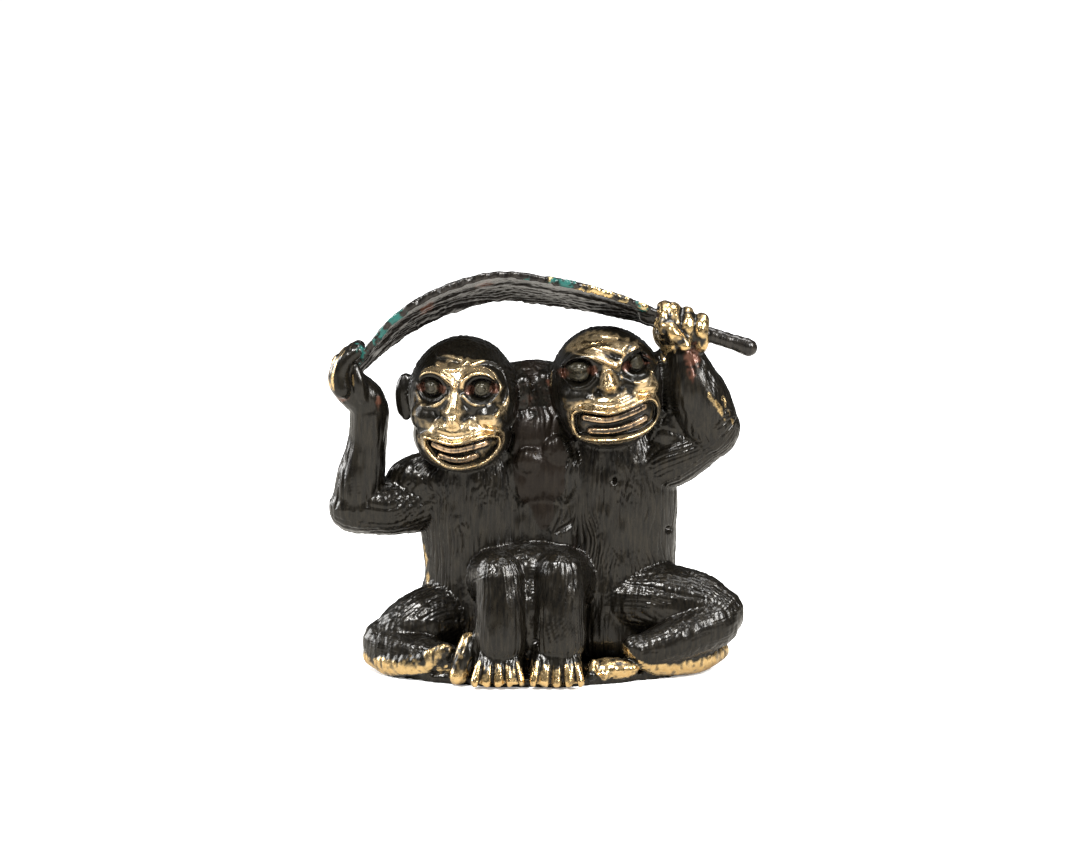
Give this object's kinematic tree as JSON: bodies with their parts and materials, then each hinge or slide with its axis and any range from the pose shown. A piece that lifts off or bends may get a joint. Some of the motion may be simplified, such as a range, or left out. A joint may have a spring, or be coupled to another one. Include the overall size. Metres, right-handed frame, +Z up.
{
  "type": "ape pair figurine",
  "caption": "Small cast bronze figurine of apes seated side by side, holding one arched leaf over their heads like an umbrella, with a dark patina and rubbed high spots.",
  "frame": {"origin": "on the surface it stands on, under the middle of the group's bounding box", "axes": "+Z up, -Y the way the faces look, +X to the viewer's right"},
  "size_m": [0.0642, 0.0298, 0.0613],
  "materials": {
    "patinated_bronze": "dark patina",
    "face_bronze": "dark patina rubbed bright on brows, nose and muzzle",
    "rubbed_bronze": "dark patina rubbed bright on edges",
    "leaf_bronze": "dark patina with verdigris spots",
    "eye_bronze": "burnished",
    "tooth_bronze": "rubbed"
  },
  "bodies": {
    "root": {"ground_plate": "patinated_bronze", "leaf_blade": "leaf_bronze", "leaf_stalk": "leaf_bronze", "left_ears": "face_bronze", "left_eyes": "eye_bronze", "left_folded_foot": "rubbed_bronze", "left_folded_leg": "patinated_bronze", "left_front_foot": "rubbed_bronze", "left_head": "face_bronze", "left_inner_arm": "patinated_bronze", "left_raised_arm": "patinated_bronze", "left_raised_hand": "rubbed_bronze", "left_raised_leg": "patinated_bronze", "left_teeth": "tooth_bronze", "left_torso": "patinated_bronze", "right_ears": "face_bronze", "right_eyes": "eye_bronze", "right_folded_foot": "rubbed_bronze", "right_folded_leg": "patinated_bronze", "right_front_foot": "rubbed_bronze", "right_head": "face_bronze", "right_inner_arm": "patinated_bronze", "right_raised_arm": "patinated_bronze", "right_raised_hand": "rubbed_bronze", "right_raised_leg": "patinated_bronze", "right_teeth": "tooth_bronze", "right_torso": "patinated_bronze"}
  },
  "joints": []
}
